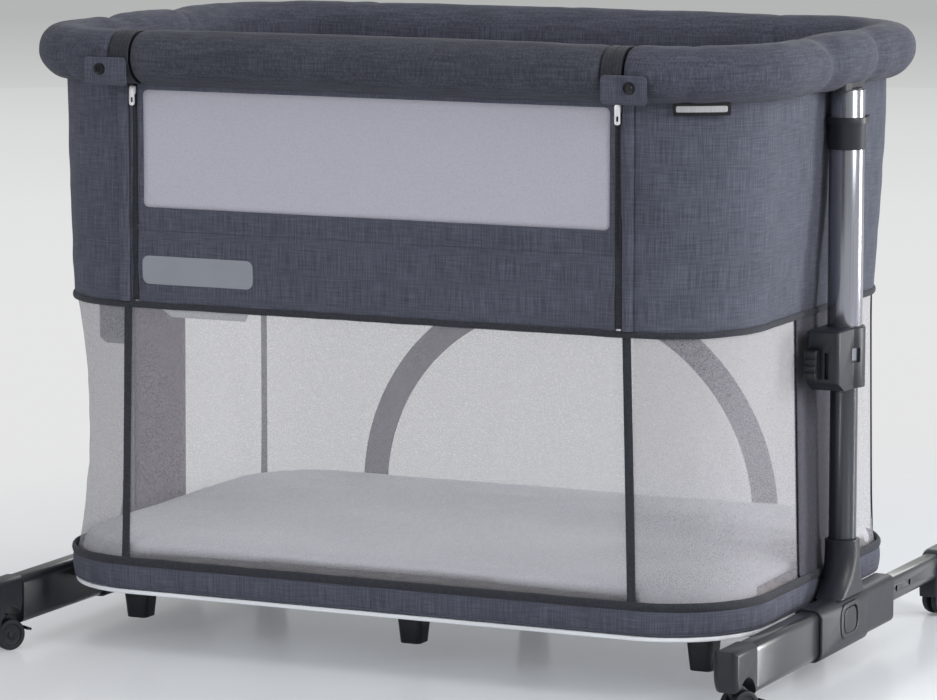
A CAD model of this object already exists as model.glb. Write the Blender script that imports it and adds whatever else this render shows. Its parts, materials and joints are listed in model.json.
import bpy
import bmesh
import json
from math import cos, pi, radians, sin, sqrt
from mathutils import Matrix, Vector, noise

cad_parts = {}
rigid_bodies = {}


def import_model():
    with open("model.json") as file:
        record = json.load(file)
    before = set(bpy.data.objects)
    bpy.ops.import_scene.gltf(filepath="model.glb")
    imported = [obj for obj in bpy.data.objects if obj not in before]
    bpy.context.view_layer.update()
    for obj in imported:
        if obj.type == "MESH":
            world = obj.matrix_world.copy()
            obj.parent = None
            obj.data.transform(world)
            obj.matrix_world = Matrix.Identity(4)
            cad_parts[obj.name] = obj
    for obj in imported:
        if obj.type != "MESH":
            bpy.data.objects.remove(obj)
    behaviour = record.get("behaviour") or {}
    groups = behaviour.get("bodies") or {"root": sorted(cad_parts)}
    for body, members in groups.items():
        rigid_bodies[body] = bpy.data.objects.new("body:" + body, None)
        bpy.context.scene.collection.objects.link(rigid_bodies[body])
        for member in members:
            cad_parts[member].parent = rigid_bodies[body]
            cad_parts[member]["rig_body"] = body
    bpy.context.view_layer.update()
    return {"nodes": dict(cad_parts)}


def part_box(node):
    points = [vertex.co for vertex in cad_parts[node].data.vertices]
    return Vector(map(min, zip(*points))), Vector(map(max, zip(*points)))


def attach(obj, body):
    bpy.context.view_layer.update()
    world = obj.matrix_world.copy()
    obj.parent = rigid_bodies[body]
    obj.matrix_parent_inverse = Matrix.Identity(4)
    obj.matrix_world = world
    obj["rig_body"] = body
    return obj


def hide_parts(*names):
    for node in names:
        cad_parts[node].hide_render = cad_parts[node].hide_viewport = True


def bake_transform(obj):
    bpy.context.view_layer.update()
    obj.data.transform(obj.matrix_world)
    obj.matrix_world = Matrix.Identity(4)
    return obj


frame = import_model()
cadNodes = frame["nodes"]
scene = bpy.context.scene
scene.view_settings.view_transform = "Standard"
sides = (("left", -1), ("right", 1))
print("frame loaded:", len(cadNodes), "nodes")


# ---- materials ----

def newMaterial(name, color, rough, metal=0.0):
    mat = bpy.data.materials.new(name)
    mat.use_nodes = True
    tree = mat.node_tree
    shader = tree.nodes["Principled BSDF"]
    shader.inputs["Base Color"].default_value = (*color, 1)
    shader.inputs["Roughness"].default_value = rough
    shader.inputs["Metallic"].default_value = metal
    mat.diffuse_color = (*color, 1)
    return mat, tree, shader


def gray(r, g, b):
    # screen values to the linear ones that Blender wants
    return tuple(((v / 255 + 0.055) / 1.055) ** 2.4 if v > 10 else v / 255 / 12.92 for v in (r, g, b))


def mapped(tree, scale, source="UV"):
    coords = tree.nodes.new("ShaderNodeTexCoord")
    mapping = tree.nodes.new("ShaderNodeMapping")
    mapping.inputs["Scale"].default_value = scale
    tree.links.new(coords.outputs[source], mapping.inputs["Vector"])
    return mapping.outputs["Vector"]


def noiseOn(tree, vector, scale=1.0, detail=2.0, rough=0.5):
    tex = tree.nodes.new("ShaderNodeTexNoise")
    tex.inputs["Scale"].default_value = scale
    tex.inputs["Detail"].default_value = detail
    tex.inputs["Roughness"].default_value = rough
    tree.links.new(vector, tex.inputs["Vector"])
    return tex.outputs["Fac"]


def combine(tree, operation, a, b):
    node = tree.nodes.new("ShaderNodeMath")
    node.operation = operation
    for socket, value in zip(node.inputs, (a, b)):
        if isinstance(value, (int, float)):
            socket.default_value = value
        else:
            tree.links.new(value, socket)
    return node.outputs[0]


def ramp(tree, value, stops):
    node = tree.nodes.new("ShaderNodeValToRGB")
    elements = node.color_ramp.elements
    while len(elements) < len(stops):
        elements.new(0.5)
    for element, (place, color) in zip(elements, stops):
        element.position = place
        element.color = (*color, 1)
    tree.links.new(value, node.inputs["Fac"])
    return node.outputs["Color"]


def bumpFrom(tree, shader, height, strength, distance):
    node = tree.nodes.new("ShaderNodeBump")
    node.inputs["Strength"].default_value = strength
    node.inputs["Distance"].default_value = distance
    tree.links.new(height, node.inputs["Height"])
    tree.links.new(node.outputs["Normal"], shader.inputs["Normal"])


def linen(name, dark, middle, light, source="UV"):
    # melange linen: fine slubs, most of them upright, over a plain weave
    upright, level = ((620, 26, 1), (30, 520, 1)) if source == "UV" else ((620, 620, 26), (30, 30, 520))
    mat, tree, shader = newMaterial(name, middle, 0.9)
    shader.inputs["Specular IOR Level"].default_value = 0.22
    shader.inputs["Sheen Weight"].default_value = 0.05
    shader.inputs["Sheen Roughness"].default_value = 0.5
    warp = noiseOn(tree, mapped(tree, upright, source), 1.0, 3.0, 0.6)
    weft = noiseOn(tree, mapped(tree, level, source), 1.0, 3.0, 0.6)
    cloud = noiseOn(tree, mapped(tree, (9, 9, 9), source), 1.0, 2.0, 0.5)
    threads = combine(tree, "ADD", combine(tree, "MULTIPLY", warp, 0.58),
                      combine(tree, "MULTIPLY", weft, 0.42))
    tone = combine(tree, "ADD", combine(tree, "MULTIPLY", threads, 0.88),
                   combine(tree, "MULTIPLY", cloud, 0.12))
    color = ramp(tree, tone, ((0.38, dark), (0.5, middle), (0.62, light)))
    tree.links.new(color, shader.inputs["Base Color"])
    fine = noiseOn(tree, mapped(tree, (1100, 1100, 1100), source), 1.0, 1.0)
    bumpFrom(tree, shader, combine(tree, "ADD", threads, combine(tree, "MULTIPLY", fine, 0.3)), 0.45, 0.0005)
    return mat


def softCloth(name, color, spread, rough=0.9, weave=700, sheen=0.2):
    # plain fine cloth with a faint change of tone
    mat, tree, shader = newMaterial(name, color, rough)
    shader.inputs["Specular IOR Level"].default_value = 0.2
    shader.inputs["Sheen Weight"].default_value = sheen
    shader.inputs["Sheen Roughness"].default_value = 0.6
    cloud = noiseOn(tree, mapped(tree, (9, 9, 9), "Object"), 1.0, 3.0)
    low = tuple(c * (1 - spread) for c in color)
    high = tuple(min(c * (1 + spread), 1) for c in color)
    tree.links.new(ramp(tree, cloud, ((0.3, low), (0.7, high))), shader.inputs["Base Color"])
    weft = noiseOn(tree, mapped(tree, (weave, weave * 0.3, weave), "Object"), 1.0, 1.0)
    bumpFrom(tree, shader, weft, 0.35, 0.0005)
    return mat


def tapeCloth(name, color, rib=420):
    # ribbed webbing: the ribs run along the tape
    mat, tree, shader = newMaterial(name, color, 0.85)
    shader.inputs["Specular IOR Level"].default_value = 0.3
    shader.inputs["Sheen Weight"].default_value = 0.1
    wave = tree.nodes.new("ShaderNodeTexWave")
    wave.inputs["Scale"].default_value = 1.0
    wave.inputs["Distortion"].default_value = 0.4
    tree.links.new(mapped(tree, (rib, rib, rib), "UV"), wave.inputs["Vector"])
    speck = noiseOn(tree, mapped(tree, (260, 260, 260), "Object"), 1.0, 2.0)
    low = tuple(c * 0.8 for c in color)
    high = tuple(c * 1.25 for c in color)
    tree.links.new(ramp(tree, speck, ((0.35, low), (0.65, high))), shader.inputs["Base Color"])
    bumpFrom(tree, shader, combine(tree, "ADD", wave.outputs["Fac"], speck), 0.4, 0.0004)
    return mat


def netCloth(name, thread, openTone, pitch, coverOpen, coverThread):
    # knitted net: round holes in rows, seen through, threads pale
    mat, tree, shader = newMaterial(name, thread, 0.75)
    shader.inputs["Specular IOR Level"].default_value = 0.2
    cell = tree.nodes.new("ShaderNodeTexVoronoi")
    cell.inputs["Scale"].default_value = 1.0
    cell.inputs["Randomness"].default_value = 0.7
    tree.links.new(mapped(tree, (pitch, pitch * 0.8, 1)), cell.inputs["Vector"])
    grain = noiseOn(tree, mapped(tree, (60, 500, 1)), 1.0, 2.0)
    edge = combine(tree, "ADD", cell.outputs["Distance"], combine(tree, "MULTIPLY", grain, 0.25))
    cover = tree.nodes.new("ShaderNodeMapRange")
    cover.inputs["From Min"].default_value = 0.38
    cover.inputs["From Max"].default_value = 0.62
    cover.inputs["To Min"].default_value = coverOpen
    cover.inputs["To Max"].default_value = coverThread
    tree.links.new(edge, cover.inputs["Value"])
    tree.links.new(cover.outputs["Result"], shader.inputs["Alpha"])
    tree.links.new(ramp(tree, edge, ((0.35, openTone), (0.6, thread))), shader.inputs["Base Color"])
    bumpFrom(tree, shader, edge, 0.3, 0.0005)
    return mat


def mouldedPlastic(name, color, rough, grain=0.25, coat=0.0):
    # moulded plastic: fine spark texture, slight change of gloss
    mat, tree, shader = newMaterial(name, color, rough)
    shader.inputs["Specular IOR Level"].default_value = 0.34
    shader.inputs["Coat Weight"].default_value = coat
    shader.inputs["Coat Roughness"].default_value = 0.15
    spark = noiseOn(tree, mapped(tree, (1500, 1500, 1500), "Object"), 1.0, 2.0)
    cloud = noiseOn(tree, mapped(tree, (30, 30, 30), "Object"), 1.0, 3.0)
    low = tuple(c * 0.88 for c in color)
    high = tuple(c * 1.12 for c in color)
    tree.links.new(ramp(tree, cloud, ((0.3, low), (0.7, high))), shader.inputs["Base Color"])
    gloss = tree.nodes.new("ShaderNodeMapRange")
    gloss.inputs["To Min"].default_value = rough - 0.05
    gloss.inputs["To Max"].default_value = rough + 0.06
    tree.links.new(cloud, gloss.inputs["Value"])
    tree.links.new(gloss.outputs["Result"], shader.inputs["Roughness"])
    bumpFrom(tree, shader, spark, grain, 0.0002)
    return mat


def drawnTube(name, color, rough, metal):
    # drawn tube with a satin lacquer: faint lines along its length
    mat, tree, shader = newMaterial(name, color, rough, metal)
    shader.inputs["Coat Weight"].default_value = 0.3
    shader.inputs["Coat Roughness"].default_value = 0.12
    lines = noiseOn(tree, mapped(tree, (700, 700, 6), "Object"), 1.0, 2.0)
    low = tuple(c * 0.9 for c in color)
    high = tuple(c * 1.1 for c in color)
    tree.links.new(ramp(tree, lines, ((0.3, low), (0.7, high))), shader.inputs["Base Color"])
    bumpFrom(tree, shader, lines, 0.08, 0.0002)
    return mat


def boardFace(name, color, rough, streak):
    mat, tree, shader = newMaterial(name, color, rough)
    fibre = noiseOn(tree, mapped(tree, streak, "Object"), 1.0, 4.0)
    low = tuple(c * 0.86 for c in color)
    high = tuple(min(c * 1.1, 1) for c in color)
    tree.links.new(ramp(tree, fibre, ((0.3, low), (0.7, high))), shader.inputs["Base Color"])
    bumpFrom(tree, shader, fibre, 0.2, 0.0004)
    return mat


finishes = {
    "linen": linen("charcoalLinen", gray(60, 62, 73), gray(74, 77, 88), gray(89, 92, 104)),
    "padLinen": linen("charcoalPadLinen", gray(52, 54, 64), gray(66, 68, 79), gray(81, 84, 96), "Object"),
    "padLinenDark": linen("charcoalPadLinenDark", gray(48, 50, 57), gray(61, 63, 71), gray(75, 77, 86),
                          "Object"),
    "binding": tapeCloth("darkBinding", gray(44, 46, 53)),
    "band": tapeCloth("charcoalBand", gray(62, 60, 70), 260),
    "doorTape": tapeCloth("mauveTape", gray(94, 84, 91), 260),
    "net": netCloth("sideNet", gray(184, 183, 188), gray(158, 156, 162), 700, 0.13, 0.40),
    "cornerNet": netCloth("cornerNet", gray(156, 154, 160), gray(118, 116, 122), 760, 0.30, 0.56),
    "windowNet": netCloth("windowNet", gray(178, 177, 187), gray(168, 167, 177), 900, 0.90, 0.985),
    "lining": softCloth("greyLining", gray(150, 150, 158), 0.06),
    "paleLining": softCloth("paleLining", gray(206, 206, 210), 0.04),
    "mattress": softCloth("mattressCloth", gray(190, 189, 195), 0.03, 0.92, 520),
    "patch": softCloth("plainPatch", gray(136, 139, 147), 0.03, 0.6, 300, 0.0),
    "plastic": mouldedPlastic("greyMoulding", gray(34, 36, 43), 0.42),
    "darkPlastic": mouldedPlastic("darkMoulding", gray(34, 35, 41), 0.40),
    "blackPlastic": mouldedPlastic("blackMoulding", gray(22, 23, 28), 0.38),
    "snap": mouldedPlastic("snapButton", gray(13, 14, 19), 0.3),
    "tyre": mouldedPlastic("wheelTyre", gray(24, 26, 30), 0.5, 0.4),
    "tube": drawnTube("greyTube", gray(150, 152, 160), 0.22, 0.8),
    "innerTube": drawnTube("innerTube", gray(58, 60, 66), 0.28, 0.5),
    "beamTube": drawnTube("beamTube", gray(34, 35, 40), 0.30, 0.0),
    "frameTube": drawnTube("frameTube", gray(56, 58, 62), 0.45, 0.3),
    "board": boardFace("paleBoard", gray(226, 228, 232), 0.5, (5, 60, 60)),
    "fibreBoard": boardFace("fibreBoard", gray(158, 128, 96), 0.8, (40, 160, 160)),
    "pull": drawnTube("zipPull", gray(226, 226, 228), 0.3, 0.35),
    "labelPlate": mouldedPlastic("labelPlate", gray(14, 14, 17), 0.4),
    "labelFace": drawnTube("labelFace", gray(168, 169, 172), 0.42, 0.3),
}
print("materials:", len(finishes))


# ---- shape helpers ----

def stations(low, high, step, marks=()):
    # evenly spaced places from low to high that also hit the marks
    stops = sorted({low, high, *[m for m in marks if low < m < high]})
    places = [low]
    for a, b in zip(stops, stops[1:]):
        count = max(1, round((b - a) / step))
        places += [a + (b - a) * i / count for i in range(1, count + 1)]
    return places


def clothGrid(across, up):
    # flat cloth as a grid, its cut size kept as the UV map, in metres
    bm = bmesh.new()
    uv = bm.loops.layers.uv.new("UVMap")
    bmesh.ops.create_grid(bm, x_segments=len(across) - 1, y_segments=len(up) - 1, size=1)
    for v in bm.verts:
        i = round((v.co.x + 1) / 2 * (len(across) - 1))
        j = round((v.co.y + 1) / 2 * (len(up) - 1))
        v.co = (across[i], up[j], 0)
    for face in bm.faces:
        for loop in face.loops:
            loop[uv].uv = loop.vert.co.xy
    return bm


def finishPiece(bm, name, finish, body, smooth=True, sharpOver=None):
    mesh = bpy.data.meshes.new(name)
    bm.to_mesh(mesh)
    bm.free()
    for polygon in mesh.polygons:
        polygon.use_smooth = smooth
    if sharpOver:
        mesh.set_sharp_from_angle(angle=radians(sharpOver))
    piece = bpy.data.objects.new(name, mesh)
    scene.collection.objects.link(piece)
    mesh.materials.append(finishes[finish])
    if body:
        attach(piece, body)
    return piece


def thicken(piece, thickness, rim=0.0):
    # gives a sheet its thickness, inwards, with soft rims
    solid = piece.modifiers.new("Thickness", "SOLIDIFY")
    solid.thickness = thickness
    solid.offset = -1
    solid.use_even_offset = True
    if rim:
        soft = piece.modifiers.new("SoftRim", "BEVEL")
        soft.width = rim
        soft.segments = 2
        soft.limit_method = "ANGLE"
        soft.angle_limit = radians(50)


clothRun = {"steps": 20, "quality": 5, "mass": 0.15, "bending": 0.8}


def swell(piece, pressure, cap):
    # fills a sewn cover by cloth simulation: held where it is sewn down, swollen in between
    sewn = [place.value for place in piece.data.attributes["sewn"].data]
    start = [v.co.copy() for v in piece.data.vertices]
    group = piece.vertex_groups.new(name="sewnDown")
    for v, share in zip(piece.data.vertices, sewn):
        group.add([v.index], share, "REPLACE")
    cloth = piece.modifiers.new("Swell", "CLOTH")
    cloth.settings.vertex_group_mass = "sewnDown"
    cloth.settings.quality = clothRun["quality"]
    cloth.settings.mass = clothRun["mass"]
    cloth.settings.bending_stiffness = clothRun["bending"]
    cloth.settings.use_pressure = True
    cloth.settings.uniform_pressure_force = pressure
    cloth.settings.effector_weights.gravity = 0
    cloth.point_cache.frame_start = 1
    cloth.point_cache.frame_end = clothRun["steps"]
    for step in range(1, clothRun["steps"] + 1):
        scene.frame_set(step)
    full = piece.evaluated_get(bpy.context.evaluated_depsgraph_get()).data
    moves = [v.co - a for v, a in zip(full.vertices, start)]
    piece.modifiers.remove(cloth)
    piece.vertex_groups.clear()
    scene.frame_set(1)
    for v, a, move in zip(piece.data.vertices, start, moves):
        v.co = a + move * min(1, cap / max(move.length, 1e-9))
    piece.data.update()
    largest = max(m.length for m in moves)
    print("swollen:", piece.name, f"{largest * 1000:.1f} mm before the cap of {cap * 1000:g} mm")


def softer(piece):
    sub = piece.modifiers.new("Smooth", "SUBSURF")
    sub.levels = sub.render_levels = 1


def ripple(x, y, z, size, seed=0.0):
    return noise.noise(Vector((x / size + seed, y / size, z / size)))


def bend(bm, place):
    for v in bm.verts:
        v.co = place(v.co.x, v.co.y)


def scaleUv(bm, across, up):
    layer = bm.loops.layers.uv.active
    for face in bm.faces:
        for loop in face.loops:
            uv = loop[layer]
            uv.uv = (uv.uv.x * across, uv.uv.y * up)


# ---- the outline of the crib ----

shell = {
    "halfX": 0.478, "halfY": 0.312, "corner": 0.128,
    "baseTop": 0.121, "hem": 0.450, "fold": 0.550, "railLow": 0.728,
    "zipX": 0.3265,
    "endLean": {-1: 0.009, 1: 0.015},   # how far the left and right ends lean in from the rail to the hem
    "endBulge": 0.004, "baseLean": 0.003,
    "frontTape": 0.346, "rearTape": 0.468, "bandHalf": 0.072,
    # how far the net pulls in between its tapes
    "cornerWaist": 0.016, "frontWaist": 0.003, "rearWaist": 0.005,
}
straightX = shell["halfX"] - shell["corner"]
straightY = shell["halfY"] - shell["corner"]
quarter = pi / 2 * shell["corner"]
frontHalf = straightX
cornerEnd = straightX + quarter
sideEnd = cornerEnd + 2 * straightY
backStart = sideEnd + quarter
halfRound = backStart + straightX   # from the middle of the front to the middle of the back


allRound = (frontHalf, cornerEnd, sideEnd, backStart, halfRound, 2 * halfRound - backStart,
            2 * halfRound - sideEnd, 2 * halfRound - cornerEnd, 2 * halfRound - frontHalf)


def fromFront(s):
    # counts a full round from 0 as left and right of the middle of the front
    return s if s <= halfRound else s - 2 * halfRound


def outline(along, halfX=shell["halfX"], halfY=shell["halfY"], corner=shell["corner"]):
    # place and outward direction, counted from the middle of the front, to the right
    side = 1 if along >= 0 else -1
    s = abs(along)
    sx, sy = halfX - corner, halfY - corner
    turn = pi / 2 * corner
    if s <= sx:
        x, y, nx, ny = s, -halfY, 0, -1
    elif s <= sx + turn:
        a = (s - sx) / corner
        nx, ny = sin(a), -cos(a)
        x, y = sx + corner * nx, -sy + corner * ny
    elif s <= sx + turn + 2 * sy:
        x, y, nx, ny = halfX, -sy + (s - sx - turn), 1, 0
    elif s <= sx + 2 * turn + 2 * sy:
        a = (s - sx - turn - 2 * sy) / corner
        nx, ny = cos(a), sin(a)
        x, y = sx + corner * nx, sy + corner * ny
    else:
        x, y, nx, ny = sx - (s - sx - 2 * turn - 2 * sy), halfY, 0, 1
    return side * x, y, side * nx, ny


bandAt = cornerEnd + straightY
netSpans = ((-shell["frontTape"], shell["frontTape"], shell["frontWaist"]),
            (shell["frontTape"], bandAt - shell["bandHalf"], shell["cornerWaist"]),
            (bandAt + shell["bandHalf"], halfRound - shell["rearTape"], shell["cornerWaist"]),
            (halfRound - shell["rearTape"], halfRound + shell["rearTape"], shell["rearWaist"]))


def wallDepth(along, z):
    # how far the skin stands out from the flat outline: the ends lean in towards the hem,
    # and the net pulls in between the tapes that hold it
    share = outline(along)[2] ** 2
    lean = shell["endLean"][1 if along >= 0 else -1] * share
    if z < shell["baseTop"]:
        return 0.0
    if z < shell["hem"]:
        t = (z - shell["baseTop"]) / (shell["hem"] - shell["baseTop"])
        depth = -share * shell["baseLean"] * (1 - t) - (lean - shell["endBulge"] * share) * t
        for start, end, waist in netSpans:
            u = (abs(along) - start) / (end - start)
            if 0 < u < 1:
                sag = waist * sin(pi * u) ** 0.8
                depth -= sag * sin(pi * t) ** 0.8
                # long creases drawn slantwise by the pull of the tapes
                crease = (ripple(along + 0.35 * z, 0, z * 0.28, 0.026, 3)
                          + 0.6 * ripple(along - 0.5 * z, 0, z * 0.2, 0.017, 9))
                depth += 0.16 * sag * crease * sin(pi * t)
        return depth
    t = min((z - shell["hem"]) / (shell["railLow"] - shell["hem"]), 1)
    fold = 0.0018 * ripple(along, 0, z * 0.35, 0.07, 3) + 0.0012 * ripple(along, 0, z, 0.03, 9)
    return (shell["endBulge"] * share - lean * (1 - t) ** 1.5
            + fold * min(1, 6 * t, 6 * (1 - min(t, 0.999)) + 0.2))


def onWall(along, z, out=0.0):
    x, y, nx, ny = outline(along)
    depth = wallDepth(along, z) + out
    return Vector((x + nx * depth, y + ny * depth, z))


def alongFor(x, y):
    # place along the outline of a point on the front, on an end or on the back
    if abs(y) < straightY:
        return (1 if x > 0 else -1) * (cornerEnd + straightY + y)
    if y < 0:
        return x
    return (1 if x > 0 else -1) * (halfRound - abs(x))


def wallSheet(name, start, end, low, high, out, thickness, finish, step, rise, rim=0.0, lean=0.0):
    bm = clothGrid(stations(start, end, step, (-backStart, -sideEnd, -cornerEnd, -frontHalf, frontHalf,
                                               cornerEnd, sideEnd, backStart)), stations(low, high, rise))
    bend(bm, lambda s, z: onWall(s + lean * (1 - (z - low) / (high - low)), z, out))
    piece = finishPiece(bm, name, finish, "crib")
    thicken(piece, thickness, rim)
    return piece


# ---- fabric walls ----

wall = {"thick": 0.0030, "zipGap": 0.0006, "pleats": ((-0.398, 0.618), (0.372, 0.606))}
# the flap covers the zip when it is folded over
flap = {"from": 0.3370, "to": 0.3520, "proud": 0.0036, "thick": 0.0016}

wallStart = shell["zipX"] + wall["zipGap"] + 0.006
bm = clothGrid(stations(wallStart, 2 * halfRound - wallStart, 0.010, allRound[:4]),
               stations(shell["hem"], shell["railLow"] + 0.012, 0.010))


def upperWall(s, z):
    along = fromFront(s)
    out = 0.0
    fromZip = abs(along) - wallStart
    # the cloth gathers into soft upright folds beside the zip
    out += 0.0030 * sin(fromZip * 210 + z * 9) * max(0, 1 - fromZip / 0.05) * (0.4 + 0.6 * sin(z * 15))
    out -= 0.0024 * max(0, 1 - abs(abs(along) - flap["to"] - 0.0012) / 0.0020)
    # small pinned pleats
    for pleatX, pleatZ in wall["pleats"]:
        dx, dz = along - pleatX, z - pleatZ
        out -= 0.004 * max(0, 1 - abs(dx) / 0.022) * max(0, 1 - abs(dz) / 0.006)
        out += 0.002 * max(0, 1 - abs(dx) / 0.03) * max(0, 1 - abs(dz - 0.01) / 0.009)
    return onWall(along, z, out)


bend(bm, upperWall)
upperWallPiece = finishPiece(bm, "upperWall", "linen", "crib")
thicken(upperWallPiece, wall["thick"], 0.001)
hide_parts("upper_fabric")

# a narrow flap beside each zip, with soft upright folds
for side, sx in sides:
    bm = clothGrid(stations(flap["from"], flap["to"], 0.0015),
                   stations(shell["hem"] + 0.004, shell["railLow"] + 0.004, 0.010))
    bend(bm, lambda x, z: Vector((
        sx * x,
        -shell["halfY"] - flap["proud"] - 0.0012 * ripple(x, 0, z * 0.25, 0.006, sx * 7)
        - 0.0022 * sin(pi * (x - flap["from"]) / (flap["to"] - flap["from"])),
        z)))
    if sx < 0:
        bmesh.ops.reverse_faces(bm, faces=bm.faces)
    flapPiece = finishPiece(bm, f"zipFlap.{side}", "linen", "crib")
    thicken(flapPiece, flap["thick"], 0.0004)

# the front below the drop side, with the fold that joins them
drop = {
    "thick": 0.0030, "lower": 0.545, "foldRoom": 0.010, "lipDepth": 0.0016, "foldY": -0.3135,
    "windowLow": 0.574, "windowHigh": 0.722, "windowSide": 0.0075, "windowRound": 0.007,
}
dropHalf = shell["zipX"]
windowHalf = dropHalf - drop["windowSide"]
foldLow = shell["fold"] - drop["foldRoom"]


def frontCloth(x, z):
    out = wallDepth(x, z) if z < foldLow else 0.0
    crease = max(0, 1 - abs(z - shell["fold"]) / 0.007)
    out -= drop["lipDepth"] * crease
    out += 0.0012 * ripple(x, 0, z, 0.045, 21) * min(1, max(0, (foldLow - z) / 0.03))
    return Vector((x, -shell["halfY"] - out, z))


bm = clothGrid(stations(-dropHalf, dropHalf, 0.010), stations(shell["hem"], drop["lower"] + 0.002, 0.006))
bend(bm, frontCloth)
frontPanel = finishPiece(bm, "frontPanel", "linen", "crib")
thicken(frontPanel, drop["thick"], 0.001)


def windowEdgeSnap(bm, low, high):
    # rounds the corners of the window opening
    r = drop["windowRound"]
    for v in bm.verts:
        if not v.is_boundary or abs(v.co.x) > windowHalf + 0.004 or not low - 0.004 < v.co.y < high + 0.004:
            continue
        cx = windowHalf - r
        cy = low + r if v.co.y < (low + high) / 2 else high - r
        dx, dy = abs(v.co.x) - cx, v.co.y - cy
        corner = dx > 0 and (dy < 0 if cy < (low + high) / 2 else dy > 0)
        if corner:
            scale = r / max(sqrt(dx * dx + dy * dy), 1e-6)
            v.co.x = (1 if v.co.x > 0 else -1) * (cx + dx * scale)
            v.co.y = cy + dy * scale


low, high = drop["windowLow"], drop["windowHigh"]
r = drop["windowRound"]
bm = clothGrid(stations(-dropHalf, dropHalf, 0.012, (-windowHalf, windowHalf, r - windowHalf, windowHalf - r,
                                                     r / 2 - windowHalf, windowHalf - r / 2)),
               stations(drop["lower"], shell["railLow"] + 0.010, 0.008,
                        (0.5475, 0.550, 0.5525, 0.5545,
                         low, high, low + r, high - r, low + r / 2, high - r / 2)))
inside = [f for f in bm.faces
          if abs(f.calc_center_median().x) < windowHalf and low < f.calc_center_median().y < high
          and not (abs(f.calc_center_median().x) > windowHalf - r / 2
                   and (f.calc_center_median().y < low + r / 2 or f.calc_center_median().y > high - r / 2))]
bmesh.ops.delete(bm, geom=inside, context="FACES")
windowEdgeSnap(bm, low, high)
bend(bm, frontCloth)
for v in bm.verts:
    if v.co.z < drop["lower"] + 0.0045:
        v.co.y -= 0.0008
dropCloth = finishPiece(bm, "dropPanelCloth", "linen", "")
thicken(dropCloth, drop["thick"], 0.0006)
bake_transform(dropCloth)
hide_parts("drop_panel")

bm = clothGrid(stations(-windowHalf - 0.003, windowHalf + 0.003, 0.012),
               stations(low - 0.003, high + 0.003, 0.010))
bend(bm, lambda x, z: Vector((x, -shell["halfY"] + 0.0015 + 0.0035 * sin(pi * (z - low) / (high - low)) *
                              cos(pi * x / 2 / (windowHalf + 0.01)) + 0.0006 * ripple(x, 0, z, 0.05, 2), z)))
windowCloth = finishPiece(bm, "windowCloth", "windowNet", "drop_side")
thicken(windowCloth, 0.0008)
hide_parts("window_mesh")
print("walls and drop side done")

# ---- lower net, tapes and skirt ----

netSeam = 0.006   # tucked in above and below
bm = clothGrid(stations(0, 2 * halfRound, 0.010, allRound),
               stations(shell["baseTop"] - netSeam, shell["hem"] + netSeam, 0.008))
bend(bm, lambda s, z: onWall(fromFront(s), min(z, shell["hem"] - 1e-4), -0.0022)
     + Vector((0, 0, max(z - shell["hem"] + 1e-4, 0))))
bmesh.ops.remove_doubles(bm, verts=bm.verts, dist=1e-5)
sideNet = finishPiece(bm, "sideNet", "net", "crib")
# drawn tight round the front corners, its threads closer
sideNet.data.materials.append(finishes["cornerNet"])
for polygon in sideNet.data.polygons:
    if polygon.center.y < 0 and abs(polygon.center.x) > shell["frontTape"]:
        polygon.material_index = 1
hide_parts("mesh_walls")

tape = {"width": 0.011, "frontHigh": 0.342, "frontLow": 0.350, "rear": 0.468, "thick": 0.0012}
tapeLow, tapeHigh = shell["baseTop"] - 0.004, shell["hem"] - 0.004
for side, sx in sides:
    middle = sx * tape["frontHigh"]
    wallSheet(f"frontTape.{side}", middle - tape["width"] / 2, middle + tape["width"] / 2,
                           tapeLow, tapeHigh, 0.0006, tape["thick"], "binding", 0.0055, 0.010,
                           rim=0.0004, lean=sx * (tape["frontLow"] - tape["frontHigh"]))
    middle = sx * (halfRound - tape["rear"])
    wallSheet(f"rearTape.{side}", middle - 0.005, middle + 0.005, tapeLow, tapeHigh, 0.0006,
                           tape["thick"], "binding", 0.005, 0.010, rim=0.0004)
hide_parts("wall_strips")

for side, sx in sides:
    middle, half = sx * bandAt, shell["bandHalf"]
    wallSheet(f"endBand.{side}", middle - half, middle + half, tapeLow, tapeHigh, 0.0008, 0.0014,
                           "band", 0.012, 0.012, rim=0.0004)
    wallSheet(f"endBandLining.{side}", middle - half + 0.003, middle + half - 0.003,
                           tapeLow, tapeHigh, -0.0036, 0.0008, "doorTape", 0.012, 0.012)
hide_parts("end_bands")

door = {"halfWidth": 0.3095, "rise": 0.306, "tape": 0.037, "middle": -0.0105, "uvSize": (0.31, 0.03)}
bm = clothGrid(stations(0, pi, 0.05), stations(0, 1, 0.25))


def doorTape(angle, part):
    inner = door["tape"] * (1 - part)
    x = door["middle"] - (door["halfWidth"] - inner) * cos(angle)
    z = shell["baseTop"] + (door["rise"] - inner) * sin(angle)
    return onWall(alongFor(x, shell["halfY"]), z, 0.0008 + 0.0006 * sin(pi * part))


for v in bm.verts:
    v.co = doorTape(v.co.x, v.co.y)
scaleUv(bm, *door["uvSize"])
bmesh.ops.reverse_faces(bm, faces=bm.faces)
doorPiece = finishPiece(bm, "rearDoorTape", "doorTape", "crib")
thicken(doorPiece, 0.0014, 0.0004)
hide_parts("rear_door_arch")


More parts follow.
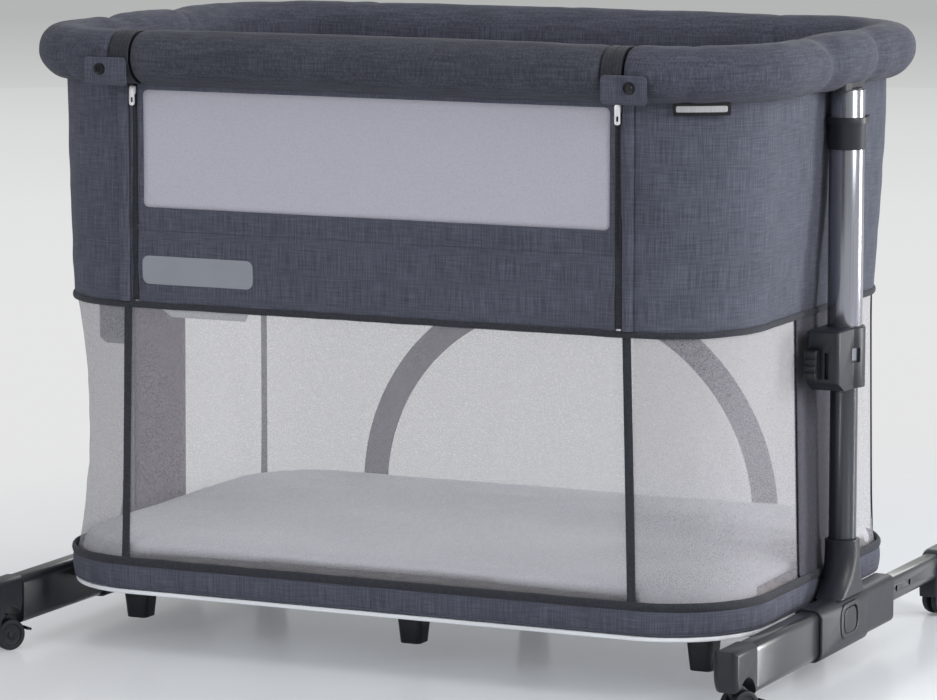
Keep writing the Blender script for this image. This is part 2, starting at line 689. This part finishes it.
def piping(name, z, out, height, depth, finish, replaced=None):
    # bound edge that runs all round, rounded over
    bm = clothGrid(stations(0, 2 * halfRound, 0.011, allRound), stations(0, 2 * pi, pi / 5))
    level = shell["hem"] if abs(z - shell["hem"]) < 0.02 else z

    def edge(s, angle):
        along = fromFront(s)
        wave = 0.0007 * ripple(along, 0, 0, 0.04, z * 50)
        p = onWall(along, level, out + depth / 2 * cos(angle) + wave)
        return Vector((p.x, p.y, z + height / 2 * sin(angle) + wave))

    bend(bm, edge)
    bmesh.ops.remove_doubles(bm, verts=bm.verts, dist=1e-5)
    scaleUv(bm, 1, 0.002)
    bmesh.ops.recalc_face_normals(bm, faces=bm.faces)
    piece = finishPiece(bm, name, finish, "crib")
    if replaced:
        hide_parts(replaced)
    return piece


piping("hemPiping", shell["hem"], 0.0008, 0.0085, 0.0046, "binding", "panel_hem")
piping("skirtTopPiping", shell["baseTop"] - 0.002, 0.0012, 0.0115, 0.0060, "binding")
piping("skirtLowPiping", 0.0850, -0.0002, 0.003, 0.0030, "linen")

skirtLow, skirtHigh = 0.0835, shell["baseTop"] - 0.001
skirtBelly, skirtThick = 0.0030, 0.0024
bm = clothGrid(stations(0, 2 * halfRound, 0.011, allRound), stations(skirtLow, skirtHigh, 0.006))
bend(bm, lambda s, z: onWall(fromFront(s), z,
                             0.0002 + skirtBelly * sin(pi * (z - 0.083) / 0.038) ** 0.7
                             + 0.0008 * ripple(s, 0, z * 0.4, 0.05, 5)))
bmesh.ops.remove_doubles(bm, verts=bm.verts, dist=1e-5)
skirt = finishPiece(bm, "baseSkirt", "linen", "crib")
thicken(skirt, skirtThick)
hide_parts("base_skirt")

# light lining inside the walls
bm = clothGrid(stations(wallStart, 2 * halfRound - wallStart, 0.012, allRound[:4]),
               stations(shell["hem"] - 0.004, shell["railLow"] + 0.006, 0.016))
bend(bm, lambda s, z: onWall(fromFront(s), z, -0.0046 - 0.0012 * ripple(s, 0, z, 0.05, 31)))
lining = finishPiece(bm, "innerLining", "lining", "crib")
thicken(lining, 0.0012)
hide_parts("inner_lining")

# the lining of the front hangs a little below the hem on the left
dip = {"from": -0.300, "to": -0.172, "deep": 0.012, "slant": 0.018}
bm = clothGrid(stations(-dropHalf, dropHalf, 0.012,
                        (dip["from"], dip["from"] + dip["slant"], dip["to"] - 0.006, dip["to"])),
               stations(shell["hem"] - 0.002, shell["fold"] + 0.002, 0.012))


def frontLining(x, z):
    share = min(max((x - dip["from"]) / dip["slant"], 0), max((dip["to"] - x) / 0.006, 0), 1)
    drape = share * dip["deep"] * max(0, 1 - (z - shell["hem"]) / 0.05)
    return Vector((x, -shell["halfY"] + 0.0048 + 0.0010 * ripple(x, 0, z, 0.05, 33), z - drape))


bend(bm, frontLining)
frontLiningPiece = finishPiece(bm, "frontLining", "paleLining", "crib")
thicken(frontLiningPiece, 0.0012)
print("net, tapes and skirt done")


# ---- padded rail ----

rail = {
    "halfX": 0.487, "halfY": 0.310, "corner": 0.138, "z": 0.7625, "wide": 0.0360, "high": 0.0345,
    "jointEnd": 0.3475, "dropEnd": 0.3203, "legBulge": 0.007, "legPinch": 0.007,
    "pressure": 4, "swellCap": 0.005,
    "uvTurn": 0.037,   # metres of cloth to one radian round the rail
}
railStraightX = rail["halfX"] - rail["corner"]
railQuarter = pi / 2 * rail["corner"]
railCornerEnd = railStraightX + railQuarter
railSideEnd = railCornerEnd + 2 * (rail["halfY"] - rail["corner"])
railBack = railSideEnd + railQuarter
railHalfRound = railBack + railStraightX
coverSeams = (0.418, railCornerEnd + 0.235, railBack + 0.05)


def powerOf(value, exponent):
    return (1 if value >= 0 else -1) * abs(value) ** exponent


def railSection(angle, grow=0.0):
    # angle 0 points outwards, a quarter turn points up; the outer lower side slopes in to the wall
    c, s = cos(angle), sin(angle)
    n = 2 / 2.5
    if s < 0 and c > 0:
        n = 2 / 1.9
    out = (rail["wide"] + grow) * powerOf(c, n if s < 0 else 2 / 2.3)
    up = (rail["high"] + grow) * powerOf(s, 2 / 2.3 if s >= 0 or c < 0 else n)
    return out, up


def railShape(along, angle):
    s = abs(along)
    x, y, nx, ny = outline(along, rail["halfX"], rail["halfY"], rail["corner"])
    out, up = railSection(angle)
    pull = 0.0
    for seamAt in coverSeams:
        # slanted seams of the cover
        d = s - seamAt - 0.006 * sin(angle)
        pull -= 0.0022 * max(0, 1 - abs(d) / 0.0035) + 0.0012 * max(0, 1 - abs(d) / 0.014)
    fromLeg = abs(s - (railCornerEnd + railSideEnd) / 2)
    outer = max(0, cos(angle))
    pull += rail["legBulge"] * outer * max(0, cos(min(fromLeg / 0.075, 1) * pi / 2)) ** 0.7
    pull -= rail["legPinch"] * outer * max(0, 1 - abs(fromLeg - 0.078) / 0.03)
    pull -= 0.003 * max(0, 1 - abs(fromLeg - 0.095) / 0.03) * max(0, sin(angle))
    pull += 0.0016 * ripple(along, sin(angle) * 0.04, cos(angle) * 0.04, 0.05, 4)
    pull += 0.0008 * ripple(along, sin(angle) * 0.04, cos(angle) * 0.04, 0.018, 14)
    length = sqrt(out * out + up * up)
    out, up = out * (1 + pull / length), up * (1 + pull / length)
    return Vector((x + nx * out, y + ny * out, rail["z"] + up))


def tubeOfCloth(name, start, end, shape, body, replaced, tuck, finish):
    # padded tube with drawn-in ends
    marks = []
    for m in coverSeams:
        marks += [m - 0.0035, m, m + 0.0035, 2 * railHalfRound - m - 0.0035, 2 * railHalfRound - m,
                  2 * railHalfRound - m + 0.0035]
    places = stations(start, end, 0.008, marks)
    rounds = stations(0, 2 * pi, 2 * pi / 40)
    bm = clothGrid(places, rounds)
    scaleUv(bm, 1, rail["uvTurn"])

    def place(s, angle):
        point = shape(s, angle)
        fromEnd = min(s - start, end - s)
        if fromEnd < tuck:
            centre = (shape(s, 0) + shape(s, pi)) / 2
            scale = 1 - 0.10 * (1 - fromEnd / tuck) ** 2.5
            point = centre + (point - centre) * scale
        return point

    sewn = bm.verts.layers.float.new("sewn")
    for v in bm.verts:
        s = v.co.x
        fromSeam = min(abs(s - m) for m in (*coverSeams, *[2 * railHalfRound - m for m in coverSeams]))
        fromEdge = min(s - start, end - s)
        fromHem = abs(v.co.y - 1.42 * pi)
        v[sewn] = max(0, 1 - fromSeam / 0.006 if body == "crib" else 0, 1 - max(0, fromEdge - 0.006) / 0.02,
                      1 - fromHem / 0.22)
    bend(bm, place)
    bmesh.ops.remove_doubles(bm, verts=bm.verts, dist=1e-5)
    bmesh.ops.recalc_face_normals(bm, faces=bm.faces)
    rim = [e for e in bm.edges if e.is_boundary]
    made = bmesh.ops.holes_fill(bm, edges=rim, sides=0)["faces"]
    bmesh.ops.inset_region(bm, faces=made, thickness=0.006, depth=-0.002)
    for face in made:
        for v in face.verts:
            v[sewn] = 1
    bmesh.ops.triangulate(bm, faces=made)
    bmesh.ops.recalc_face_normals(bm, faces=bm.faces)
    piece = finishPiece(bm, name, finish, body)
    swell(piece, rail["pressure"], rail["swellCap"])
    softer(piece)
    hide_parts(replaced)
    return piece


def fixedRail(s, angle):
    return railShape(s if s <= railHalfRound else s - 2 * railHalfRound, angle)


def dropRail(s, angle):
    out, up = railSection(angle)
    length = sqrt(out * out + up * up)
    pull = 0.0013 * ripple(s, sin(angle) * 0.04, cos(angle) * 0.04, 0.06, 40)
    return Vector((s, -rail["halfY"] - out * (1 + pull / length), rail["z"] + up * (1 + pull / length)))


tubeOfCloth("fixedRailPad", rail["jointEnd"], 2 * railHalfRound - rail["jointEnd"], fixedRail, "crib",
            "rail_pad", 0.010, "padLinen")
tubeOfCloth("dropRailPad", -rail["dropEnd"], rail["dropEnd"], dropRail, "drop_side", "drop_rail_pad",
            0.010, "padLinenDark")


sleeve = {"near": 0.3206, "mid": 0.334, "far": 0.3472, "gap": 0.0001, "under": 0.0006, "rib": 0.0007,
          "ribPitch": 0.0045, "thick": 0.0008}


def ribbedSleeve(name, low, high, body):
    # ribbed rubber sleeve over one half of a rail joint
    bm = clothGrid(stations(low, high, (high - low) / 16), stations(0, 2 * pi, 2 * pi / 40))
    scaleUv(bm, 1, rail["uvTurn"])

    def place(x, angle):
        wave = 0.5 + 0.5 * cos((x - low) * 2 * pi / sleeve["ribPitch"])
        out, up = railSection(angle, -sleeve["under"] - sleeve["rib"] * wave)
        return Vector((x, -rail["halfY"] - out, rail["z"] + up))

    bend(bm, place)
    bmesh.ops.remove_doubles(bm, verts=bm.verts, dist=1e-5)
    bmesh.ops.recalc_face_normals(bm, faces=bm.faces)
    piece = finishPiece(bm, name, "binding", body)
    thicken(piece, sleeve["thick"])


for side, sx in sides:
    near, mid, far = (sx * sleeve[part] for part in ("near", "mid", "far"))
    gap = sleeve["gap"]
    ribbedSleeve(f"jointSleeve.moving.{side}", min(near, mid) + gap, max(near, mid) - gap, "drop_side")
    ribbedSleeve(f"jointSleeve.fixed.{side}", min(mid, far) + gap, max(mid, far) - gap, "crib")


# ---- small sewn and pressed parts ----

def roundedCloth(name, x0, x1, z0, z1, radius, depthAt, thickness, finish, body, slotName, rim=0.0005):
    # flat piece of cloth or plate with rounded corners, facing the front
    step = radius / 3
    bm = clothGrid(stations(x0, x1, max(step, 0.004), (x0 + radius / 3, x0 + radius / 1.5, x0 + radius,
                                                       x1 - radius, x1 - radius / 1.5, x1 - radius / 3)),
                   stations(z0, z1, max(step, 0.004), (z0 + radius / 3, z0 + radius / 1.5, z0 + radius,
                                                       z1 - radius, z1 - radius / 1.5, z1 - radius / 3)))
    for v in bm.verts:
        cx = min(max(v.co.x, x0 + radius), x1 - radius)
        cz = min(max(v.co.y, z0 + radius), z1 - radius)
        d = Vector((v.co.x - cx, v.co.y - cz))
        if d.x and d.y:
            longest = max(abs(d.x), abs(d.y))
            d *= longest / d.length
            v.co.x, v.co.y = cx + d.x, cz + d.y
    bend(bm, lambda x, z: Vector((x, depthAt(x, z), z)))
    piece = finishPiece(bm, name, finish, body)
    thicken(piece, thickness, rim)
    return piece


def turned(name, profile, centre, axis, finish, body, steps=40):
    # lathe: profile of (radius, height) points turned about an axis
    bm = bmesh.new()
    points = [bm.verts.new((r, 0, h)) for r, h in profile]
    lines = [bm.edges.new(pair) for pair in zip(points, points[1:])]
    bmesh.ops.spin(bm, geom=points + lines, cent=(0, 0, 0), axis=(0, 0, 1), angle=2 * pi, steps=steps,
                   use_merge=True)
    bmesh.ops.remove_doubles(bm, verts=bm.verts, dist=1e-6)
    bmesh.ops.recalc_face_normals(bm, faces=bm.faces)
    turn = Vector((0, 0, 1)).rotation_difference(Vector(axis)).to_matrix().to_4x4()
    bmesh.ops.transform(bm, matrix=Matrix.Translation(centre) @ turn, verts=bm.verts)
    return finishPiece(bm, name, finish, body, sharpOver=38)


tab = {"inner": 0.3215, "outer": 0.3815, "low": 0.7285, "high": 0.7640, "round": 0.006, "button": 0.359,
       "buttonZ": 0.749, "face": -0.3490}
snapProfile = ((0, 0.0034), (0.0040, 0.0034), (0.0046, 0.0028), (0.0052, 0.0022), (0.0062, 0.0024),
               (0.0073, 0.0016), (0.0076, 0.0), (0, 0))


def tabDepth(x, z):
    # lies against the lower front of the rail
    curl = 0.004 * max(0, (tab["low"] + 0.012 - z) / 0.012) ** 2
    return tab["face"] + curl + 0.0008 * ripple(x, 0, z, 0.03, 8)


for side, sx in sides:
    x0, x1 = sorted((sx * tab["inner"], sx * tab["outer"]))
    snapTab = roundedCloth(f"snapTab.{side}", x0, x1, tab["low"], tab["high"], tab["round"], tabDepth, 0.0022,
                           "linen", "drop_side", "charcoal_linen")
    if side == "left":
        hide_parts("snap_tabs")
    turned(f"snapButton.{side}", snapProfile, (sx * tab["button"], tab["face"] + 0.0002, tab["buttonZ"]),
           (0, -1, 0), "snap", "drop_side")

patch = {"x": (-0.320, -0.164), "z": (0.477, 0.513), "round": 0.009}
roundedCloth("frontPatch", *patch["x"], *patch["z"], patch["round"],
             lambda x, z: frontCloth(x, z).y - 0.0008, 0.0009, "patch", "crib", "grey_lining", 0.0003)
label = {"x": (0.399, 0.460), "z": (0.7150, 0.7305)}


def labelDepth(x, z):
    return outline(x)[1] - 0.0065


roundedCloth("labelBar", *label["x"], *label["z"], 0.002, labelDepth, 0.0016, "labelPlate", "crib",
             "black_plastic")
roundedCloth("labelFace", label["x"][0] + 0.0036, label["x"][1] - 0.0036, label["z"][0] + 0.0040,
             label["z"][1] - 0.0040, 0.002, lambda x, z: labelDepth(x, z) - 0.0005, 0.0008, "labelFace",
             "crib", "zip_metal", 0.0002)

# zip: tape and coil beside the drop side
zipper = {"pitch": 0.0027, "tooth": 0.0015}
for side, sx in sides:
    x0, x1 = sorted((sx * (dropHalf + 0.0002), sx * (wallStart + 0.0025)))
    tapeMesh = clothGrid(stations(x0, x1, 0.002),
                         stations(shell["hem"] + 0.006, shell["railLow"] + 0.004, 0.010))
    bend(tapeMesh, lambda x, z: Vector((x, -shell["halfY"] + 0.0012, z)))
    zipTape = finishPiece(tapeMesh, f"zipTape.{side}", "binding", "crib")
    thicken(zipTape, 0.0008)
    if side == "left":
        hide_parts("zip_tapes")
    coil = bmesh.new()
    height = shell["fold"] + 0.004
    while height < shell["railLow"]:
        spot = Matrix.Translation((sx * (dropHalf + 0.0018), -shell["halfY"] - 0.0002, height))
        bmesh.ops.create_cube(coil, size=zipper["tooth"],
                              matrix=spot @ Matrix.Diagonal((2.2, 1.0, 0.8, 1)))
        height += zipper["pitch"]
    finishPiece(coil, f"zipCoil.{side}", "binding", "crib", smooth=False)
print("rail and small parts done")

# ---- mattress ----

bed = {"halfX": 0.4685, "halfY": 0.3065, "corner": 0.124, "crown": 0.004, "rim": 0.010, "power": 2.6,
       "pressure": 3, "swellCap": 0.004,
       "puff": (-0.36, 0.10, 0.12, 0.006)}   # a soft hump: place, spread and height
bedLow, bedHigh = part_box("mattress")


def bedPlace(u, v):
    # a square of cloth pushed out to the rounded outline, puffed towards its middle
    hx, hy, cornerRadius = bed["halfX"], bed["halfY"], bed["corner"]
    reach = max(abs(u), abs(v), 1e-6)
    cx, cy = hx - cornerRadius, hy - cornerRadius
    x, y = u / reach * hx, v / reach * hy
    if abs(x) > cx and abs(y) > cy:
        d = Vector((abs(x) - cx, abs(y) - cy)).normalized() * cornerRadius
        x = (1 if x > 0 else -1) * (cx + d.x)
        y = (1 if y > 0 else -1) * (cy + d.y)
    x, y = x * reach, y * reach
    edge = 1 - reach
    t = min(edge * min(hx, hy) / bed["rim"], 1)
    top = bedHigh[2] - 0.007 + bed["crown"] * min(1, edge * 2.2)
    side = bedLow[2] + 0.006
    z = side + (top - side) * (1 - (1 - t) ** bed["power"]) ** (1 / bed["power"])
    z += (0.0030 * ripple(x, y, 0, 0.16, 60) + 0.0012 * ripple(x, y, 0, 0.05, 70)) * t
    puffX, puffY, spread, height = bed["puff"]
    far = sqrt((x - puffX) ** 2 + (y - puffY) ** 2) / spread
    z += height * max(0, 1 - far * far) * t
    return Vector((x, y, z))


steps = [-1 + 0.0125 * i for i in range(7)] + [-0.9 + 0.0225 * i for i in range(1, 80)] + \
        [0.925 + 0.0125 * i for i in range(7)]
bm = clothGrid(steps, steps)
sewn = bm.verts.layers.float.new("sewn")
for v in bm.verts:
    v[sewn] = min(1, max(0, (max(abs(v.co.x), abs(v.co.y)) - 0.975) / 0.02))
bend(bm, bedPlace)
for face in bm.faces:
    for loop in face.loops:
        loop[bm.loops.layers.uv.active].uv = loop.vert.co.xy
rim = [e for e in bm.edges if e.is_boundary]
bottom = bmesh.ops.holes_fill(bm, edges=rim, sides=0)["faces"]
bmesh.ops.triangulate(bm, faces=bottom)
bmesh.ops.recalc_face_normals(bm, faces=bm.faces)
mattress = finishPiece(bm, "mattressCover", "mattress", "crib", sharpOver=70)
swell(mattress, bed["pressure"], bed["swellCap"])
softer(mattress)
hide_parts("mattress")
print("mattress done")


# ---- rigid parts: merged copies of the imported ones, with softened edges ----

def dressed(node, finish, softEdge=0.0006, sharp=32):
    source = cadNodes[node]
    bm = bmesh.new()
    bm.from_mesh(source.data)
    bmesh.ops.remove_doubles(bm, verts=bm.verts, dist=2e-6)
    bmesh.ops.dissolve_limit(bm, angle_limit=radians(0.6), verts=bm.verts, edges=bm.edges)
    if softEdge:
        edges = [e for e in bm.edges if len(e.link_faces) == 2 and e.calc_face_angle(0) > radians(sharp)
                 and e.calc_length() > softEdge * 0.5]
        bmesh.ops.bevel(bm, geom=edges, offset=softEdge, segments=2, affect="EDGES", profile=0.5, material=-1,
                        clamp_overlap=True)
    for layer in list(bm.loops.layers.uv.values()):
        bm.loops.layers.uv.remove(layer)
    for face in bm.faces:
        face.material_index = 0
    piece = finishPiece(bm, node + ".finish", finish, source["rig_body"], sharpOver=sharp + 4)
    if "custom_normal" in piece.data.attributes:
        piece.data.attributes.remove(piece.data.attributes["custom_normal"])
    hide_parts(node)
    return piece


rigid = {
    "rail_tube": ("frameTube", 0), "drop_rail_tube": ("frameTube", 0), "base_tube": ("frameTube", 0),
    "base_crossbars": ("frameTube", 0.0004), "rail_locks": ("darkPlastic", 0),
    "drop_rail_plugs": ("darkPlastic", 0), "rail_brackets": ("darkPlastic", 0.0006),
    "base_board": ("board", 0.0008), "mattress_boards": ("fibreBoard", 0),
    "base_feet": ("blackPlastic", 0.0008), "upper_tubes": ("tube", 0.0003),
    "height_clamps": ("plastic", 0.0008), "belt_collars": ("plastic", 0.0006),
}
for side, sx in sides:
    rigid.update({
        f"rail_release_{side}": ("blackPlastic", 0.0004), f"zip_slider_{side}": ("pull", 0.0004),
        f"clamp_trigger_{side}": ("blackPlastic", 0.0006), f"lower_tube_{side}": ("innerTube", 0.0003),
        f"tube_bush_{side}": ("blackPlastic", 0), f"tee_{side}": ("plastic", 0.0008),
        f"front_beam_{side}": ("beamTube", 0.0006), f"front_cap_{side}": ("darkPlastic", 0.0008),
        f"foot_lock_{side}": ("darkPlastic", 0.0006), f"rear_tube_{side}": ("beamTube", 0.0006),
        f"rear_cap_{side}": ("darkPlastic", 0.0008),
    })
    for end in ("front", "rear"):
        rigid[f"caster_fork_{end}_{side}"] = ("blackPlastic", 0.0005)
        rigid[f"caster_wheels_{end}_{side}"] = ("tyre", 0.0006)
    rigid[f"brake_lever_front_{side}"] = ("blackPlastic", 0.0004)
for node, (finish, softEdge) in rigid.items():
    dressed(node, finish, softEdge)
print("rigid parts done:", len(rigid))

# ---- studio ----

studio = {
    "target": Vector((-0.0140, 0.0016, 0.3706)), "place": Vector((2.4157, -5.1928, 1.1720)), "lens": 171.3,
    "skyStrength": 0.58, "horizon": (-0.128, -0.064), "floorLift": 0.16, "floorRadius": 9,
    "floorMiddle": (-0.35, -0.1, 0), "floorFade": (0.6, 1.9),
}
cameraData = bpy.data.cameras.new("camera")
cameraData.sensor_width = 36
cameraData.lens = studio["lens"]
cameraData.clip_end = 60
camera = bpy.data.objects.new("camera", cameraData)
scene.collection.objects.link(camera)
camera.location = studio["place"]
camera.rotation_euler = (studio["target"] - studio["place"]).to_track_quat("-Z", "Y").to_euler()
scene.camera = camera


def softbox(name, place, aim, size, power):
    data = bpy.data.lights.new(name, "AREA")
    data.shape = "RECTANGLE"
    data.size, data.size_y = size
    data.energy = power
    lamp = bpy.data.objects.new(name, data)
    scene.collection.objects.link(lamp)
    lamp.location = place
    lamp.rotation_euler = (Vector(aim) - Vector(place)).to_track_quat("-Z", "Y").to_euler()


lamps = {   # place, aim, size in metres, power in watts
    "keyLight": ((3.4, -0.9, 1.9), (0.2, 0, 0.5), (1.2, 2.2), 80),
    "fillLight": ((-1.6, -4.0, 1.8), (0, 0, 0.5), (2.4, 1.6), 32),
    "topLight": ((0, 0.4, 3.2), (0, 0, 0), (2.6, 2.0), 16),
    "stripLight": ((-0.4, -3.4, 0.7), (0.5, 0, 0.5), (0.14, 1.8), 9),
    "rearLight": ((-0.5, 3.4, 1.6), (0, 0, 0.3), (2.6, 1.2), 26),
    "rimLight": ((3.0, 1.9, 0.6), (0.5, 0.2, 0.5), (0.7, 1.4), 75),
}
for name, lamp in lamps.items():
    softbox(name, *lamp)

world = bpy.data.worlds.new("studioWorld")
scene.world = world
world.use_nodes = True
tree = world.node_tree
backdrop = tree.nodes["Background"]
output = tree.nodes["World Output"]
sky = tree.nodes.new("ShaderNodeBackground")
sky.inputs["Color"].default_value = (0.93, 0.96, 1.0, 1)
sky.inputs["Strength"].default_value = studio["skyStrength"]
direction = tree.nodes.new("ShaderNodeTexCoord")
split = tree.nodes.new("ShaderNodeSeparateXYZ")
tree.links.new(direction.outputs["Generated"], split.inputs[0])
height = tree.nodes.new("ShaderNodeMapRange")
height.inputs["From Min"].default_value = studio["horizon"][0]
height.inputs["From Max"].default_value = studio["horizon"][1]
tree.links.new(split.outputs["Z"], height.inputs["Value"])
shade = ramp(tree, height.outputs["Result"], ((0.0, gray(229, 229, 229)), (0.35, gray(225, 226, 226)),
                                             (0.62, gray(214, 216, 215)), (1.0, gray(180, 182, 181))))
tree.links.new(shade, backdrop.inputs["Color"])
rays = tree.nodes.new("ShaderNodeLightPath")
seen = combine(tree, "MAXIMUM", rays.outputs["Is Camera Ray"],
               combine(tree, "MAXIMUM", rays.outputs["Is Glossy Ray"], rays.outputs["Is Transmission Ray"]))
mix = tree.nodes.new("ShaderNodeMixShader")
tree.links.new(seen, mix.inputs["Fac"])
tree.links.new(sky.outputs[0], mix.inputs[1])
tree.links.new(backdrop.outputs[0], mix.inputs[2])
tree.links.new(mix.outputs[0], output.inputs["Surface"])

floorMesh = bmesh.new()
bmesh.ops.create_circle(floorMesh, cap_ends=True, radius=studio["floorRadius"], segments=96)
mesh = bpy.data.meshes.new("floor")
floorMesh.to_mesh(mesh)
floorMesh.free()
floor = bpy.data.objects.new("floor", mesh)
floor.location = (0, 0, -0.0005)
scene.collection.objects.link(floor)
mat, tree, shader = newMaterial("floorFinish", (0.80, 0.82, 0.85), 0.16)
shader.inputs["Specular IOR Level"].default_value = 0.45
place = tree.nodes.new("ShaderNodeTexCoord")
shift = tree.nodes.new("ShaderNodeMapping")
shift.inputs["Location"].default_value = studio["floorMiddle"]
tree.links.new(place.outputs["Object"], shift.inputs["Vector"])
length = tree.nodes.new("ShaderNodeVectorMath")
length.operation = "LENGTH"
tree.links.new(shift.outputs["Vector"], length.inputs[0])
fade = tree.nodes.new("ShaderNodeMapRange")
fade.interpolation_type = "SMOOTHSTEP"
fade.inputs["From Min"].default_value = studio["floorFade"][0]
fade.inputs["From Max"].default_value = studio["floorFade"][1]
fade.inputs["To Min"].default_value = 1.0
fade.inputs["To Max"].default_value = 0.0
tree.links.new(length.outputs["Value"], fade.inputs["Value"])
tree.links.new(fade.outputs["Result"], shader.inputs["Alpha"])
glow = tree.nodes.new("ShaderNodeEmission")
glow.inputs["Color"].default_value = (*gray(231, 232, 234), 1)
rays = tree.nodes.new("ShaderNodeLightPath")
lift = combine(tree, "MULTIPLY", rays.outputs["Is Camera Ray"], studio["floorLift"])
mix = tree.nodes.new("ShaderNodeMixShader")
tree.links.new(lift, mix.inputs["Fac"])
tree.links.new(shader.outputs[0], mix.inputs[1])
tree.links.new(glow.outputs[0], mix.inputs[2])
tree.links.new(mix.outputs[0], tree.nodes["Material Output"].inputs["Surface"])
mesh.materials.append(mat)

# dark cards in front and on the left, seen only in the gloss of tubes and mouldings
cardFinish, tree, shader = newMaterial("darkCard", gray(30, 30, 34), 0.9)
cardCorner, cardHigh = Vector((-4.2, -4.2, 0.02)), 3.0
for name, along in (("frontCard", Vector((5.4, 0, 0))), ("leftCard", Vector((0, 4.4, 0)))):
    card = bmesh.new()
    low = [card.verts.new(cardCorner), card.verts.new(cardCorner + along)]
    edge = card.edges.new(low)
    top = bmesh.ops.extrude_edge_only(card, edges=[edge])
    bmesh.ops.translate(card, vec=(0, 0, cardHigh),
                        verts=[v for v in top["geom"] if isinstance(v, bmesh.types.BMVert)])
    cardMesh = bpy.data.meshes.new(name)
    card.to_mesh(cardMesh)
    card.free()
    cardMesh.materials.append(cardFinish)
    cardPiece = bpy.data.objects.new(name, cardMesh)
    scene.collection.objects.link(cardPiece)
    cardPiece.visible_camera = cardPiece.visible_diffuse = cardPiece.visible_shadow = False
    cardPiece.visible_transmission = False

print("boxes written")
